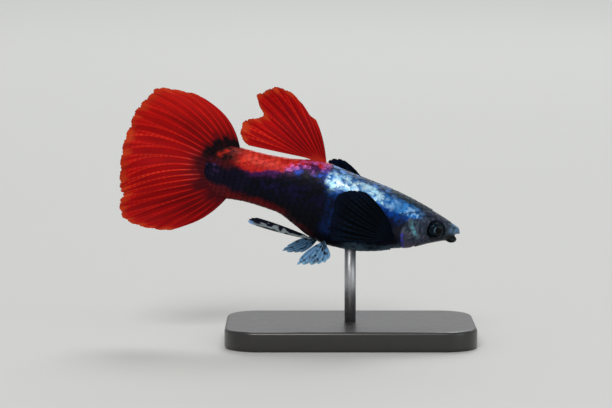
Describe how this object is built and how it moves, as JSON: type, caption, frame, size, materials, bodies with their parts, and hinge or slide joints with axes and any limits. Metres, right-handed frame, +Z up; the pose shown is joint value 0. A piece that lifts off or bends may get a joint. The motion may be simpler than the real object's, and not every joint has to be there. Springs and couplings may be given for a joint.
{
  "type": "fish model",
  "caption": "Life-size male fancy guppy with a broad red fan tail, nose tipped down, held up by a short rod on a flat rounded base.",
  "frame": {"origin": "centre of the stand base's underside", "axes": "+X towards the fish's snout, +Y towards its left side, +Z up"},
  "size_m": [0.0429, 0.018, 0.0306],
  "materials": {
    "head_skin": "satin, painted",
    "trunk_skin": "satin, painted with a pearl sheen",
    "tail_skin": "satin, painted",
    "eye": "polished",
    "red_fin": "satin, ribbed by the rays",
    "black_fin": "satin, ribbed by the rays",
    "pale_fin": "satin, ribbed by the rays",
    "stand_base": "satin black",
    "stand_rod": "brushed"
  },
  "bodies": {
    "root": {"head": "head_skin", "jaw_lower": "head_skin", "gill_cover_left": "head_skin", "gill_cover_right": "head_skin", "trunk": "trunk_skin", "tail_stalk": "tail_skin", "eye_left": "eye", "eye_right": "eye", "fin_tail": "red_fin", "fin_dorsal": "red_fin", "fin_breast_left": "black_fin", "fin_breast_right": "black_fin", "fin_belly_left": "pale_fin", "fin_belly_right": "pale_fin", "fin_anal": "pale_fin", "stand_base": "stand_base", "stand_rod": "stand_rod"}
  },
  "joints": []
}
